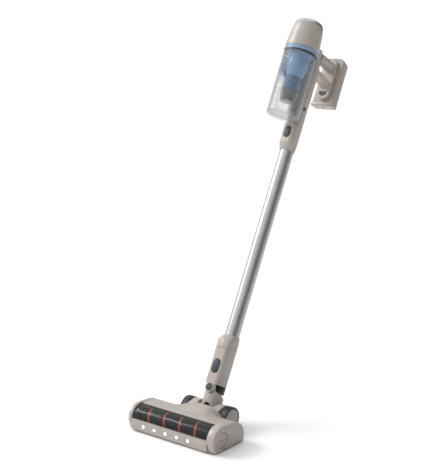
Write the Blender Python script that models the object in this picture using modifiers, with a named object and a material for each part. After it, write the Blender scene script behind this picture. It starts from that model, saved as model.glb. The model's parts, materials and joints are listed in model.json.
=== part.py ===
"""Cordless stick vacuum cleaner: powered floor head, jointed neck, aluminium wand and hand unit.

Metres, +Z up. +X is the head's right-hand end, -Y is forwards, and the floor is z = 0.
The stick leans back from the wheel axle. Its pieces are placed in the frame of the empty
stick_frame, whose X is across, Y is backwards (called b) and Z is along the stick (called t).
"""

import math

import bmesh
import bpy
from mathutils import Vector

# ---------------------------------------------------------------- driving dimensions
GAP = 0.0003  # clearance between touching pieces
CENTRE_SHIFT_Y = -0.27793  # puts the middle of the whole object's depth at y = 0

LEAN = math.radians(27.47)  # the stick's lean back from vertical
AXLE_Y, AXLE_Z = 0.0801, 0.0291  # wheel axle, measured from the roller's side of the head
WHEEL_R = AXLE_Z
WHEEL_IN, WHEEL_OUT = 0.050, 0.070  # wheel faces, distance from the middle

HEAD_HALF = 0.129
CAVITY_LEFT, CAVITY_RIGHT = -0.1192, 0.1082  # inner faces of the end caps
ROLLER_Y, ROLLER_Z, ROLLER_R = -0.033, 0.0285, 0.0252
NOSE_R = 0.0300  # outside of the clear window
BELT_LOW, BELT_HIGH = -0.1165, -0.1090
BRUSH_PULLEY_R, MOTOR_PULLEY_R = 0.0115, 0.0060
MOTOR_Y, MOTOR_Z = 0.0260, 0.0240
LIGHTS = [-0.082 + 0.0341 * i for i in range(5)]
LIGHT_Z = 0.0183

STEER_T = 0.059  # side-steer pivot
YOKE_R, YOKE_BORE_R = 0.0245, 0.0140
YOKE_RIM_T, YOKE_RIM_SLOPE = 0.0444, math.radians(22.8)  # the yoke's rim falls towards the rear
SPLIT_LOW, SPLIT_HIGH = 0.1580, 0.7430  # where the wand meets the neck and the hand unit
TUBE_R, TUBE_WALL = 0.0177, 0.0013
TUBE_LOW, TUBE_HIGH = 0.1790, 0.6850
BUTTON_LOW_T, BUTTON_HIGH_T = 0.1120, 0.7200

BIN_B = -0.0611  # axis of the bin and motor, in front of the stick's axis
BIN_LOW, BIN_HIGH = 0.7500, 0.9072
RING_LOW, RING_HIGH = 0.9113, 0.9213
LID_REAR_B = -0.0270  # the lid ends here, and the bin's fixed heel begins
LID_HINGE = (0, BIN_B - 0.0450, 0.7480)
SPINE_REAR = 0.0152
ARM_T, ARM_R = 0.9390, 0.0138
COLUMN_FRONT, COLUMN_REAR, COLUMN_HALF = 0.0775, 0.0880, 0.0195
MOON_T, MOON_R = 0.8717, 0.0109
TRIGGER_PIVOT = (0, 0.0185, 0.9230)
BATTERY_HALF, BATTERY_REAR = 0.0300, 0.1130
BATTERY_LOW, BATTERY_HIGH = 0.8350, 0.9720
BATTERY_TOP_SLOPE = math.radians(25)  # the battery's top falls towards the rear
WALL = 0.0027  # of the battery's case
PORT_B = 0.1000

ALONG_X = (0.0, math.pi / 2, 0.0)
ALONG_Y = (-math.pi / 2, 0.0, 0.0)
UPRIGHT = (0.0, 0.0, 0.0)
PLANES = {"xy": UPRIGHT, "xz": (math.pi / 2, 0, 0), "yz": (math.pi / 2, 0, math.pi / 2)}

COLOURS = {
    "shell": ((0.53, 0.47, 0.43), 0.38, 0.0),
    "clear": ((0.85, 0.87, 0.88), 0.08, 0.0),
    "blue": ((0.22, 0.42, 0.68), 0.15, 0.0),
    "chrome": ((0.80, 0.80, 0.80), 0.10, 1.0),
    "aluminium": ((0.78, 0.78, 0.79), 0.30, 1.0),
    "steel": ((0.55, 0.55, 0.56), 0.30, 1.0),
    "grey": ((0.20, 0.23, 0.24), 0.45, 0.0),
    "black": ((0.02, 0.02, 0.022), 0.50, 0.0),
    "rubber": ((0.07, 0.07, 0.08), 0.80, 0.0),
    "bristle": ((0.05, 0.05, 0.055), 0.90, 0.0),
    "filter": ((0.75, 0.74, 0.70), 0.90, 0.0),
    "light": ((0.95, 0.97, 1.00), 0.20, 0.0),
}


# ---------------------------------------------------------------- scene and helpers
def clear_scene():
    for obj in list(bpy.data.objects):
        bpy.data.objects.remove(obj)


def collection(name):
    made = bpy.data.collections.new(name)
    bpy.context.scene.collection.children.link(made)
    return made


clear_scene()
PARTS = collection("cordless_stick_vacuum")
CUTTERS = collection("cutters")


def empty(name, parent=None, at=(0, 0, 0), turn=UPRIGHT):
    made = bpy.data.objects.new(name, None)
    PARTS.objects.link(made)
    made.parent = parent
    made.location = at
    made.rotation_euler = turn
    made.empty_display_size = 0.02
    return made


HEAD = empty("head_frame", at=(0, CENTRE_SHIFT_Y, 0))
STICK = empty("stick_frame", HEAD, (0, AXLE_Y, AXLE_Z), (-LEAN, 0, 0))


def material(name, colour):
    rgb, roughness, metallic = COLOURS[colour]
    made = bpy.data.materials.new(name)
    made.use_nodes = True
    shader = made.node_tree.nodes["Principled BSDF"]
    shader.inputs["Base Color"].default_value = (*rgb, 1.0)
    shader.inputs["Roughness"].default_value = roughness
    shader.inputs["Metallic"].default_value = metallic
    return made


def new_object(name, mesh, frame, at, turn):
    """A mesh in the parts' collection, as a part named later by part(), or used as a cutter."""
    made = bpy.data.objects.new(name, mesh)
    PARTS.objects.link(made)
    made.parent = frame
    made.location = at
    made.rotation_euler = turn
    return made


def round_edges(obj, width, segments=2, angle=40):
    bevel = obj.modifiers.new("round", "BEVEL")
    bevel.width = width
    bevel.segments = segments
    bevel.limit_method = "ANGLE"
    bevel.angle_limit = math.radians(angle)
    return obj


def block(name, low, high, frame, edge=0.0, segments=2):
    """A box between two corners of its frame, with rounded edges where edge is given."""
    low, high = Vector(low), Vector(high)
    bm = bmesh.new()
    bmesh.ops.create_cube(bm, size=1.0)
    bmesh.ops.scale(bm, vec=high - low, verts=bm.verts)
    mesh = bpy.data.meshes.new(name)
    bm.to_mesh(mesh)
    bm.free()
    made = new_object(name, mesh, frame, (low + high) / 2, UPRIGHT)
    return round_edges(made, edge, segments) if edge else made


def prism(name, outline, low, high, plane, frame, edge=0.0, segments=2):
    """A flat outline in the xy, xz or yz plane, from low to high along the third axis."""
    curve = bpy.data.curves.new(name, "CURVE")
    curve.dimensions = "2D"
    curve.fill_mode = "BOTH"
    curve.extrude = (high - low) / 2
    spline = curve.splines.new("POLY")
    spline.points.add(len(outline) - 1)
    for point, (u, v) in zip(spline.points, outline):
        point.co = (u, v, 0, 1)
    spline.use_cyclic_u = True
    guide = bpy.data.objects.new(name, curve)
    CUTTERS.objects.link(guide)
    graph = bpy.context.evaluated_depsgraph_get()
    mesh = bpy.data.meshes.new_from_object(guide.evaluated_get(graph))
    bpy.data.objects.remove(guide)
    bm = bmesh.new()
    bm.from_mesh(mesh)
    bmesh.ops.remove_doubles(bm, verts=bm.verts, dist=1e-6)
    bmesh.ops.recalc_face_normals(bm, faces=bm.faces)
    bm.to_mesh(mesh)
    bm.free()
    middle = (low + high) / 2
    at = {"xy": (0, 0, middle), "xz": (0, middle, 0), "yz": (middle, 0, 0)}[plane]
    made = new_object(name, mesh, frame, at, PLANES[plane])
    return round_edges(made, edge, segments) if edge else made


def turned(name, profile, frame, at=(0, 0, 0), turn=UPRIGHT, steps=22, ring=False):
    """A profile of (radius, height) points, outer side downwards, turned about the local Z."""
    mesh = bpy.data.meshes.new(name)
    edges = [(i, i + 1) for i in range(len(profile) - 1)]
    if ring:
        edges.append((len(profile) - 1, 0))
    mesh.from_pydata([(r, 0, z) for r, z in profile], edges, [])
    made = new_object(name, mesh, frame, at, turn)
    screw = made.modifiers.new("turn", "SCREW")
    screw.steps = steps
    screw.render_steps = steps
    screw.use_merge_vertices = True
    screw.merge_threshold = 0.00001
    screw.use_smooth_shade = True
    return made


def rod(name, radius, low, high, frame, at=(0, 0, 0), turn=UPRIGHT, steps=22):
    profile = [(0, high), (radius, high), (radius, low), (0, low)]
    return turned(name, profile, frame, at, turn, steps)


def pipe(name, outer, inner, low, high, frame, at=(0, 0, 0), turn=UPRIGHT, steps=22):
    profile = [(outer, high), (outer, low), (inner, low), (inner, high)]
    return turned(name, profile, frame, at, turn, steps, ring=True)


def section(half_x, half_y, middle_y, power, count=24):
    """Points of a rounded outline: power 2 is an ellipse, and 4 a box with soft corners."""
    points = []
    for i in range(count):
        c = math.cos(2 * math.pi * i / count)
        s = math.sin(2 * math.pi * i / count)
        x = half_x * math.copysign(abs(c) ** (2 / power), c)
        y = half_y * math.copysign(abs(s) ** (2 / power), s)
        points.append((x, middle_y + y))
    return points


def loft(name, levels, frame):
    """A solid through the outlines (height, half_x, half_y, middle_y, power), lowest first."""
    bm = bmesh.new()
    rings = []
    for height, *shape in levels:
        rings.append([bm.verts.new((x, y, height)) for x, y in section(*shape)])
    for below, above in zip(rings, rings[1:]):
        for i in range(len(below)):
            j = (i + 1) % len(below)
            bm.faces.new((below[i], below[j], above[j], above[i]))
    bm.faces.new(list(reversed(rings[0])))
    bm.faces.new(rings[-1])
    mesh = bpy.data.meshes.new(name)
    bm.to_mesh(mesh)
    bm.free()
    return new_object(name, mesh, frame, (0, 0, 0), UPRIGHT)


def arc(centre, radius, start, end, count):
    """Points of an arc from start to end, in degrees."""
    points = []
    for i in range(count + 1):
        angle = math.radians(start + (end - start) * i / count)
        points.append((centre[0] + radius * math.cos(angle), centre[1] + radius * math.sin(angle)))
    return points


def stadium(half_width, half_height, middle):
    """An upright oval with round ends, about (0, middle)."""
    rise = half_height - half_width
    top = arc((0, middle + rise), half_width, 0, 180, 8)
    return top + arc((0, middle - rise), half_width, 180, 360, 8)


def thick(points, wall):
    """A closed outline: an open line of points, and the same line moved left by wall."""
    inner = []
    for i, point in enumerate(points):
        before = Vector(points[max(i - 1, 0)])
        after = Vector(points[min(i + 1, len(points) - 1)])
        along = (after - before).normalized()
        inner.append((point[0] - along.y * wall, point[1] + along.x * wall))
    return points + inner[::-1]


def boolean(obj, others, operation):
    for other in others:
        modifier = obj.modifiers.new(operation.lower(), "BOOLEAN")
        modifier.operation = operation
        modifier.object = other
        modifier.solver = "EXACT"
        other.hide_render = True
        other.display_type = "WIRE"
        if other.name in PARTS.objects:
            PARTS.objects.unlink(other)
            CUTTERS.objects.link(other)
    return obj


def cut(obj, *cutters):
    return boolean(obj, cutters, "DIFFERENCE")


def add(obj, *others):
    return boolean(obj, others, "UNION")


def part(obj, colour):
    """Gives a finished piece its material."""
    obj.data.materials.clear()
    obj.data.materials.append(material(obj.name + "_finish", colour))
    if not any(m.type == "SCREW" for m in obj.modifiers):
        obj.data.shade_smooth()
        obj.data.set_sharp_from_angle(angle=math.radians(35))
    return obj


# ---------------------------------------------------------------- floor head
REAR_CURVE = [(0.004, 0.0590), (0.020, 0.0560), (0.036, 0.0475), (0.0455, 0.034), (0.0485, 0.020)]


def cap_outline():
    nose = arc((ROLLER_Y, ROLLER_Z), NOSE_R + 0.0025, 185, 86, 8)
    bottom = [(0.0455, 0.0035), (-0.0585, 0.0035)]
    return nose + REAR_CURVE + bottom


def end_caps():
    left = prism("end_cap_left", cap_outline(), -HEAD_HALF, CAVITY_LEFT - GAP, "yz", HEAD, 0.003)
    socket = rod("cap_socket_cut", 0.0046, -0.1235, -0.10, HEAD, (0, ROLLER_Y, ROLLER_Z), ALONG_X, 16)
    part(cut(left, socket), "shell")
    right = prism("end_cap_right", cap_outline(), CAVITY_RIGHT + GAP, HEAD_HALF, "yz", HEAD, 0.0035)
    bore = rod("cap_bore_cut", 0.0190, 0.10, 0.14, HEAD, (0, ROLLER_Y, ROLLER_Z), ALONG_X)
    part(cut(right, bore), "shell")
    profile = [(0, 0.1290), (0.0165, 0.1290), (0.0185, 0.1278), (0.0185, 0.1095)]
    profile += [(0.0076, 0.1095), (0.0076, 0.1180), (0, 0.1180)]
    latch = turned("end_cap_latch", profile, HEAD, (0, ROLLER_Y, ROLLER_Z), ALONG_X)
    grip = block("latch_slot_cut", (0.1275, ROLLER_Y - 0.012, ROLLER_Z - 0.0012),
                 (0.1320, ROLLER_Y + 0.012, ROLLER_Z + 0.0012), HEAD)
    part(cut(latch, grip), "shell")
    place = (0, ROLLER_Y, ROLLER_Z)
    bearing = pipe("brush_bearing", 0.0073, 0.0050, 0.1100, 0.1165, HEAD, place, ALONG_X, 24)
    part(bearing, "steel")


def head_cover():
    top = [(-0.0268, 0.0588)] + REAR_CURVE + [(0.0470, 0.0070)]
    cover = prism("head_cover", thick(top, -0.0025), CAVITY_LEFT, CAVITY_RIGHT, "yz", HEAD)
    duct = rod("duct_hole_cut", 0.0140, 0.03, 0.06, HEAD, (0, 0, AXLE_Z), ALONG_Y)
    part(cut(cover, duct), "shell")


def brush_window():
    outer = arc((ROLLER_Y, ROLLER_Z), NOSE_R, 174, 79, 14)
    part(prism("brush_window", thick(outer, -0.0020), CAVITY_LEFT, CAVITY_RIGHT, "yz", HEAD), "clear")


def front_bar():
    outline = [(-0.0600, 0.0035), (-0.0625, 0.0035), (-0.0650, 0.008), (-0.0658, 0.020)]
    outline += [(-0.0645, 0.0312), (-0.0600, 0.0312)]
    bar = prism("front_bar", outline[::-1], CAVITY_LEFT, CAVITY_RIGHT, "yz", HEAD)
    low, high = LIGHTS[0] - 0.008, LIGHTS[-1] + 0.008
    pocket = block("light_pocket_cut", (low - GAP, -0.0635, LIGHT_Z - 0.0038),
                   (high + GAP, -0.0590, LIGHT_Z + 0.0038), HEAD)
    strip = block("light_strip", (low, -0.0632, LIGHT_Z - 0.0035), (high, -0.0603, LIGHT_Z + 0.0035), HEAD)
    cut(bar, pocket)
    for i, x in enumerate(LIGHTS):
        place = (x, 0, LIGHT_Z)
        cut(bar, rod(f"light_hole_cut_{i}", 0.0033, -0.070, -0.062, HEAD, place, ALONG_Y, 16))
        add(strip, rod(f"light_lens_{i}", 0.0029, -0.0664, -0.0620, HEAD, place, ALONG_Y, 16))
    part(bar, "shell")
    part(strip, "light")


def base_plate():
    plate = block("base_plate", (CAVITY_LEFT, -0.0597, 0.0035), (CAVITY_RIGHT, 0.0465, 0.0062), HEAD)
    cut(plate, block("suction_slot_cut", (-0.1085, -0.0520, 0.0), (0.1070, -0.0140, 0.02), HEAD))
    for side, x in (("left", -0.090), ("right", 0.090)):
        place = (x, -0.004, 0.0055)
        low, high = (x - 0.0065, -0.0102, 0.0), (x + 0.0065, 0.0022, 0.02)
        cut(plate, block(f"roller_slot_cut_{side}", low, high, HEAD))
        cut(plate, rod(f"roller_pin_cut_{side}", 0.0016, -0.0092, 0.0092, HEAD, place, ALONG_X, 12))
        profile = [(0, 0.009), (0.0012, 0.009), (0.0012, 0.006), (0.0049, 0.006), (0.0055, 0.005)]
        mirrored = [(r, -z) for r, z in profile[::-1]]
        part(turned(f"base_roller_{side}", profile + mirrored, HEAD, place, ALONG_X, 24), "rubber")
    part(plate, "shell")
    part(block("suction_lip", (-0.105, -0.0132, 0.0008), (0.104, -0.0112, 0.0032), HEAD), "bristle")


def chamber_and_duct():
    outer = arc((ROLLER_Y, ROLLER_Z), 0.0286, 72, -48, 14)
    wall = prism("chamber_wall", thick(outer, -0.0015), -0.1075, CAVITY_RIGHT, "yz", HEAD)
    cut(wall, rod("chamber_outlet_cut", 0.0118, -0.02, 0.01, HEAD, (0, 0, AXLE_Z), ALONG_Y))
    part(wall, "grey")
    part(pipe("suction_duct", 0.0136, 0.0118, -0.0010, 0.0490, HEAD, (0, 0, AXLE_Z), ALONG_Y), "black")


def belt_loop(extra):
    """The closed line of an open belt round the two pulleys, extra outside their rims."""
    a, b = Vector((ROLLER_Y, ROLLER_Z)), Vector((MOTOR_Y, MOTOR_Z))
    angle = math.degrees(math.atan2(b.y - a.y, b.x - a.x))
    lift = math.degrees(math.acos((BRUSH_PULLEY_R - MOTOR_PULLEY_R) / (b - a).length))
    big = arc(a, BRUSH_PULLEY_R + extra, angle + lift, angle + 360 - lift, 16)
    small = arc(b, MOTOR_PULLEY_R + extra, angle - lift, angle + lift, 12)
    return big + small


def brush_drive():
    axis = (0, ROLLER_Y, ROLLER_Z)
    profile = [(0, 0.1165), (0.0047, 0.1165), (0.0047, 0.1062), (0.0200, 0.1062)]
    profile += [(0.0200, -0.1070), (0, -0.1070)]
    part(turned("brush_core", profile, HEAD, axis, ALONG_X), "black")
    part(pipe("brush_fibre", ROLLER_R, 0.0203, -0.1065, 0.1055, HEAD, axis, ALONG_X, 28), "bristle")
    profile = [(0, -0.1074), (0.005, -0.1074), (0.005, BELT_HIGH), (BRUSH_PULLEY_R, BELT_HIGH)]
    profile += [(BRUSH_PULLEY_R, BELT_LOW), (0.0042, BELT_LOW), (0.0042, -0.1228), (0, -0.1228)]
    part(turned("brush_pulley", profile, HEAD, axis, ALONG_X), "black")
    motor_axis = (0, MOTOR_Y, MOTOR_Z)
    part(rod("brush_motor", 0.0125, -0.0920, -0.0300, HEAD, motor_axis, ALONG_X), "steel")
    profile = [(0, -0.0924), (0.002, -0.0924), (0.002, BELT_HIGH), (MOTOR_PULLEY_R, BELT_HIGH)]
    profile += [(MOTOR_PULLEY_R, BELT_LOW), (0, BELT_LOW)]
    part(turned("motor_pulley", profile, HEAD, motor_axis, ALONG_X, 24), "steel")
    belt = prism("drive_belt", belt_loop(0.0018), BELT_LOW + 0.001, BELT_HIGH - 0.001, "yz", HEAD)
    inside = prism("belt_inside_cut", belt_loop(GAP), BELT_LOW - 0.01, BELT_HIGH + 0.01, "yz", HEAD)
    part(cut(belt, inside), "rubber")


def neck_socket():
    """The hump behind the head, with a cheek on each side of the neck."""
    outline = [(0.0495, 0.0035), (0.0495, 0.0460), (0.0540, 0.0525)]
    outline += arc((AXLE_Y, AXLE_Z), 0.0285, 112, 0, 8) + [(0.1060, 0.0130), (0.0945, 0.0035)]
    socket = prism("neck_socket", outline[::-1], -0.0470, 0.0470, "yz", HEAD, 0.003)
    slot = [(0.0550, 0.0060), (0.0757, 0.0060), (0.0757, -0.01), (0.14, -0.01), (0.14, 0.10), (0.0550, 0.10)]
    cut(
        socket,
        prism("socket_slot_cut", slot, -0.0262, 0.0262, "yz", HEAD),
        rod("socket_inlet_cut", 0.0125, 0.03, 0.0600, HEAD, (0, 0, AXLE_Z), ALONG_Y, 24),
        rod("socket_trunnion_cut", 0.0104, -0.0350, 0.0350, HEAD, (0, AXLE_Y, AXLE_Z), ALONG_X, 24),
        rod("socket_axle_cut", 0.0033, -0.06, 0.06, HEAD, (0, AXLE_Y, AXLE_Z), ALONG_X, 16),
    )
    part(socket, "shell")


def wheels():
    for side, sign in (("left", -1), ("right", 1)):
        axis = (0, AXLE_Y, AXLE_Z)
        ends = sorted((sign * 0.0358, sign * 0.0680))
        part(rod(f"wheel_axle_{side}", 0.0030, *ends, HEAD, axis, ALONG_X, 16), "steel")
        low, high = sorted((sign * WHEEL_IN, sign * WHEEL_OUT))
        tread = [(WHEEL_R - 0.0012, high), (WHEEL_R, high - 0.0015), (WHEEL_R, low + 0.0015)]
        tread += [(WHEEL_R - 0.0012, low), (0.0243, low), (0.0243, high)]
        part(turned(f"wheel_tread_{side}", tread, HEAD, axis, ALONG_X, 28, ring=True), "rubber")
        hub = rod(f"wheel_hub_{side}", 0.0240, low, high, HEAD, axis, ALONG_X, 28)
        ends = sorted((sign * (WHEEL_IN - 0.005), sign * 0.0684))
        cut(hub, rod(f"hub_bore_cut_{side}", 0.0032, *ends, HEAD, axis, ALONG_X, 16))
        part(hub, "shell")


# ---------------------------------------------------------------- neck
def neck_yoke():
    """The cup that leans on the wheel axle. Its rim is cut at a slope, and its foot has an arch."""
    yoke = turned("neck_yoke", [(0, 0.0600), (YOKE_R, 0.0600), (YOKE_R, 0), (0, 0)], STICK)
    barrel = rod("yoke_barrel", 0.0228, -0.0250, 0.0250, STICK, (0, 0, 0), ALONG_X)
    trunnions = rod("yoke_trunnions", 0.0100, -0.0343, 0.0343, STICK, (0, 0, 0), ALONG_X)
    tongue = prism(
        "yoke_tongue", [(-0.0105, 0.0200), (0.0105, 0.0200)] + arc((0, STEER_T), 0.0105, 0, 180, 10),
        -0.0206, -0.0160, "xz", STICK)
    rim_frame = empty("yoke_rim_frame", STICK, (0, 0, YOKE_RIM_T), (-YOKE_RIM_SLOPE, 0, 0))
    cut(yoke, block("yoke_rim_cut", (-0.04, -0.05, 0), (0.04, 0.05, 0.05), rim_frame))
    add(yoke, barrel, trunnions, tongue)
    cut(
        yoke,
        rod("yoke_boss_cut", 0.0132, -0.030, -0.0209, STICK, (0, 0, STEER_T), ALONG_Y),
        rod("yoke_bore_cut", YOKE_BORE_R, 0.0, 0.08, STICK),
        rod("yoke_arch_cut", 0.0100, -0.035, -0.0120, STICK, (0.0020, 0, 0.0125), ALONG_Y),
        rod("yoke_inlet_cut", 0.0115, -0.03, 0.0, STICK, (0, 0, 0.0), (LEAN - math.pi / 2, 0, 0)),
        rod("yoke_pin_cut", 0.0043, -0.03, 0.0, STICK, (0, 0, STEER_T), ALONG_Y, 20),
        rod("yoke_axle_cut", 0.0034, -0.0500, -0.0300, STICK, (0, 0, 0), ALONG_X, 16),
        rod("yoke_axle_cut_right", 0.0034, 0.0300, 0.0500, STICK, (0, 0, 0), ALONG_X, 16),
    )
    part(yoke, "shell")


def neck_bellows():
    """A ribbed hose inside the neck, from the yoke's bore up into the housing."""
    low, high, ribs = 0.0240, 0.0860, 6
    pitch = (high - low) / ribs
    outer = []
    for i in range(ribs):
        top = high - i * pitch
        outer += [(0.0112, top), (0.0126, top - pitch * 0.35), (0.0126, top - pitch * 0.65)]
    outer.append((0.0112, low))
    inner = [(0.0098, low), (0.0098, high)]
    part(turned("neck_bellows", outer + inner, STICK, ring=True, steps=16), "black")


NECK = (0.0212, 0.0230, -0.0065, 4)
NECK_INSIDE = (0.0180, 0.0180, -0.0035, 4)


def neck_housing():
    steer = empty("steer_frame", STICK, (0, 0, STEER_T))
    housing = loft("neck_housing", [(0.0485 - STEER_T, *NECK), (SPLIT_LOW - GAP - STEER_T, *NECK)], steer)
    cut(housing, loft("neck_inside_cut", [(0.030, *NECK_INSIDE), (0.17, *NECK_INSIDE)], STICK))
    for side, sign in (("left", -1), ("right", 1)):
        low, high = sorted((sign * 0.0112, sign * 0.04))
        cut(housing, block(f"neck_notch_cut_{side}", (low, -0.04, 0.03), (high, 0.0138, 0.0680), STICK))
    cut(housing, block("neck_tab_cut", (-0.0150, -0.04, 0.03), (0.0150, -0.0205, STEER_T - 0.0007), STICK))
    ring = pipe("pivot_ring", 0.0116, 0.0094, -0.0303, -0.0281, STICK, (0, 0, STEER_T), ALONG_Y, 25)
    boss = rod("pivot_boss", 0.0124, -0.0297, -0.0224, STICK, (0, 0, STEER_T), ALONG_Y, 27)
    add(housing, boss, ring)
    cut(
        housing,
        rod("pivot_hole_cut", 0.0043, -0.04, -0.01, STICK, (0, 0, STEER_T), ALONG_Y, 20),
        prism("low_button_cut", stadium(0.0094, 0.0169, BUTTON_LOW_T), -0.04, -0.0150, "xz", STICK),
    )
    part(housing, "shell")
    profile = [(0, -0.0163), (0.0040, -0.0163), (0.0040, -0.0299), (0.0089, -0.0299)]
    profile += [(0.0089, -0.0306), (0.0080, -0.0314), (0, -0.0314)]
    part(turned("pivot_cap", profile, steer, (0, 0, 0), ALONG_Y, 24), "grey")
    outline = stadium(0.0090, 0.0165, BUTTON_LOW_T)
    part(prism("lower_release_button", outline, -0.0312, -0.0240, "xz", STICK, 0.0012), "grey")


# ---------------------------------------------------------------- wand
def wand():
    tube_end = (0.0198, 0.0198, 0, 2)
    collar = loft("wand_lower_collar", [(SPLIT_LOW, *NECK), (0.1775, *NECK), (0.1925, *tube_end)], STICK)
    add(collar, rod("lower_spigot", 0.0142, 0.1200, 0.1650, STICK))
    cut(
        collar,
        rod("lower_pocket_cut", TUBE_R + GAP, TUBE_LOW - GAP, 0.20, STICK),
        rod("lower_bore_cut", 0.0125, 0.11, 0.19, STICK),
    )
    part(collar, "shell")
    tube = pipe("wand_tube", TUBE_R, TUBE_R - TUBE_WALL, TUBE_LOW, TUBE_HIGH, STICK, steps=28)
    part(tube, "aluminium")
    top = (0.0195, 0.0195, -0.0035, 4)
    levels = [(0.6750, *tube_end), (0.6930, *top), (SPLIT_HIGH - GAP, *top)]
    collar = loft("wand_upper_collar", levels, STICK)
    cut(
        collar,
        rod("upper_pocket_cut", TUBE_R + GAP, 0.66, TUBE_HIGH + GAP, STICK),
        rod("upper_bore_cut", 0.0150, 0.67, 0.76, STICK),
        prism("high_button_cut", stadium(0.0086, 0.0144, BUTTON_HIGH_T), -0.04, -0.0162, "xz", STICK),
    )
    part(collar, "shell")
    outline = stadium(0.0082, 0.0140, BUTTON_HIGH_T)
    part(prism("upper_release_button", outline, -0.0246, -0.0190, "xz", STICK, 0.0012), "grey")


# ---------------------------------------------------------------- hand unit
def inlet_spine():
    wide, slim = (0.0195, 0.0157, -0.0008, 4), (0.0138, 0.0150, -0.0005, 3)
    levels = [(SPLIT_HIGH, *wide), (0.9000, *wide), (0.9250, *slim), (0.9520, *slim)]
    spine = loft("inlet_spine", levels, STICK)
    add(spine, rod("upper_spigot", 0.0145, 0.7080, 0.7500, STICK))
    cut(
        spine,
        rod("spine_bore_cut", 0.0120, 0.70, 0.7760, STICK),
        block("spine_port_cut", (-0.0085, -0.03, 0.7570), (0.0085, 0.0, 0.7740), STICK),
        block("latch_pocket_cut", (0.0160, -0.0098, 0.7840), (0.03, -0.0022, 0.7926), STICK),
    )
    part(spine, "shell")
    latch = block("bin_latch_button", (0.0180, -0.0095, 0.7843), (0.0207, -0.0025, 0.7923), STICK, 0.0006)
    part(latch, "black")


def handle():
    """The arm, the brace below it and the column between them, with the trigger and the half-moon button."""
    inside = COLUMN_FRONT + 0.004
    arm = rod("grip_arm", ARM_R, SPINE_REAR, inside, STICK, (0, 0, ARM_T), ALONG_Y)
    side_view = [(SPINE_REAR, 0.8930), (inside, 0.8840), (inside, 0.8965), (SPINE_REAR, 0.9035)]
    brace = prism("lower_brace", side_view, -0.0155, 0.0155, "yz", STICK, 0.003)
    round_t = 0.8515 + COLUMN_HALF
    outline = arc((0, 0.9460), COLUMN_HALF - 0.0015, 0, 180, 10)
    outline += arc((0, round_t), COLUMN_HALF, 180, 360, 10)
    column = prism("handle", outline, COLUMN_FRONT, COLUMN_REAR, "xz", STICK, 0.003)
    add(column, arm, brace)
    moon = arc((0, MOON_T + GAP), MOON_R + 0.0005, 180, 360, 10)
    cut(column, prism("moon_cut", moon, 0.07, COLUMN_FRONT + 0.0090, "xz", STICK))
    part(column, "shell")
    moon = arc((0, MOON_T), MOON_R, 180, 360, 10)
    button = prism("battery_release_button", moon, COLUMN_FRONT - 0.0010, COLUMN_FRONT + 0.0070, "xz", STICK)
    part(button, "grey")
    pivot = empty("trigger_frame", STICK, TRIGGER_PIVOT)
    outline = [(-0.0018, 0.0010), (-0.0018, -0.0100), (0.0005, -0.0180), (0.0040, -0.0185)]
    outline += [(0.0030, -0.0100), (0.0052, -0.0020), (0.0040, 0.0010)]
    part(prism("trigger", outline, -0.0060, 0.0060, "yz", pivot), "black")


def battery_outline(inset):
    """The battery seen from behind, with wide round corners at its top."""
    half, top, corner = BATTERY_HALF - inset, BATTERY_HIGH - inset, 0.0180 - inset
    right = arc((half - corner, top - corner), corner, 0, 90, 6)
    left = arc((corner - half, top - corner), corner, 90, 180, 6)
    return right + left + [(-half, 0.8420 + inset), (half, 0.8420 + inset)]


def battery():
    front = COLUMN_REAR + 0.0005
    case = prism("battery_case", battery_outline(0), front, BATTERY_REAR, "xz", STICK, 0.0035)
    foot_low, foot_high = (-0.0325, front - 0.0045, BATTERY_LOW), (0.0325, BATTERY_REAR, 0.8465)
    foot = block("battery_foot", foot_low, foot_high, STICK, 0.0035)
    hollow = prism("battery_hollow_cut", battery_outline(WALL), 0.0800, BATTERY_REAR - WALL, "xz", STICK)
    lid = prism("battery_cover", battery_outline(WALL + GAP), front, front + 0.0018, "xz", STICK)
    top_frame = empty("battery_top_frame", STICK, (0, BATTERY_REAR, 0.9579), (-BATTERY_TOP_SLOPE, 0, 0))
    for piece, below in ((case, 0), (hollow, WALL), (lid, WALL + 2 * GAP)):
        cut(piece, block(f"{piece.name}_slope", (-0.05, -0.05, -below), (0.05, 0.02, 0.03), top_frame))
    add(case, foot)
    cut(case, hollow, rod("port_hole_cut", 0.0036, 0.82, 0.8420, STICK, (0, PORT_B, 0), steps=16))
    part(case, "shell")
    cells = block("battery_cells", (-0.0262, front + 0.0022, 0.8500), (0.0262, 0.1098, 0.9500), STICK, 0.003)
    part(lid, "shell")
    part(cells, "grey")
    part(pipe("charging_port", 0.0033, 0.0018, 0.8352, 0.8410, STICK, (0, PORT_B, 0), steps=16), "black")


def motor_unit():
    axis = (0, BIN_B, 0)
    low = RING_HIGH + GAP
    outer = [(0.0340, 0.9936), (0.0365, 0.9870), (0.0388, 0.9740), (0.0412, 0.9540)]
    outer += [(0.0430, 0.9330), (0.0436, low)]
    inner = [(0.0408, low), (0.0384, 0.9540), (0.0355, 0.9780), (0.0325, 0.9900), (0.0310, 0.9936)]
    part(turned("motor_housing", outer + inner, STICK, axis, ring=True, steps=28), "shell")
    profile = [(0, 1.0000), (0.0200, 0.9995), (0.0290, 0.9980), (0.0325, 0.9960), (0.0336, 0.9939)]
    profile += [(0.0306, 0.9939), (0.0306, 0.9905), (0, 0.9905)]
    part(turned("exhaust_cap", profile, STICK, axis, steps=28), "chrome")
    part(pipe("exhaust_filter", 0.0315, 0.0100, 0.9785, 0.9898, STICK, axis), "filter")
    part(rod("suction_motor", 0.0300, 0.9370, 0.9775, STICK, axis), "steel")
    profile = [(0, 0.9365), (0.006, 0.9365), (0.006, 0.9320), (0.0290, 0.9290)]
    profile += [(0.0290, 0.9240), (0, 0.9240)]
    part(turned("motor_fan", profile, STICK, axis, steps=24), "black")


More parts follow.
